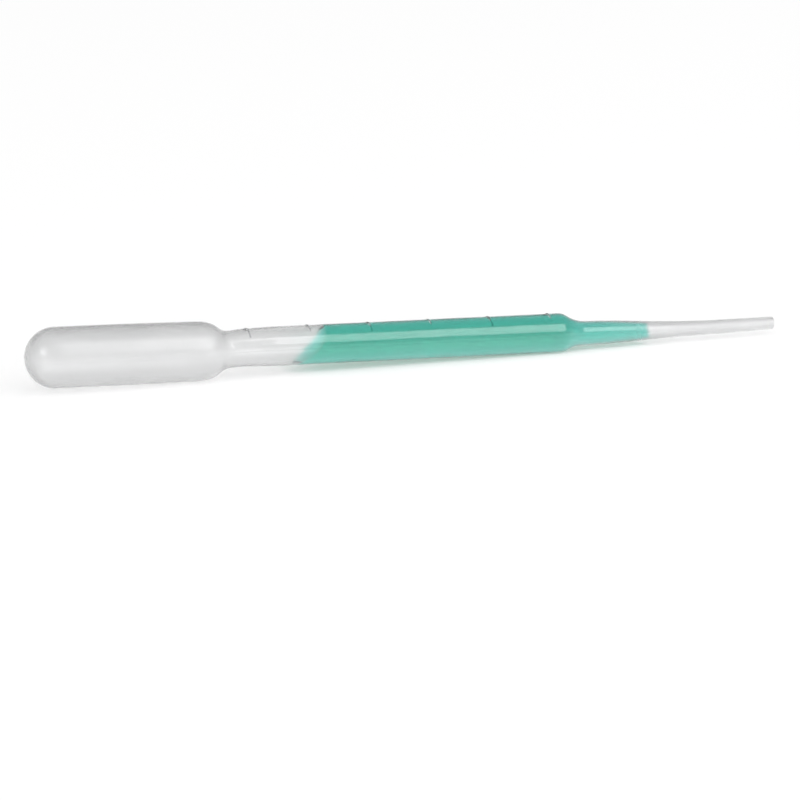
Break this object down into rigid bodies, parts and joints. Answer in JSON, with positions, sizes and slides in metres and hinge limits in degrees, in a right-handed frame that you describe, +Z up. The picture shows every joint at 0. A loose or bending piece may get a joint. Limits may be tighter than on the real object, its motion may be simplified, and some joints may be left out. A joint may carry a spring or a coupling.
{
  "type": "plastic dropper pipette",
  "caption": "Translucent squeeze-bulb dropper pipette moulded in one piece, with raised graduation lines and a column of green liquid held in its stem.",
  "frame": {"origin": "on the surface that the pipette lies on, under the middle of its box", "axes": "+X along the pipette from the bulb to the tip, +Y across it, +Z up"},
  "size_m": [0.155, 0.0122, 0.0127],
  "materials": {
    "polyethylene": "natural, translucent, soft sheen",
    "green_liquid": "clear coloured water"
  },
  "bodies": {
    "root": {"pipette": "polyethylene", "green_liquid": "green_liquid"}
  },
  "joints": []
}
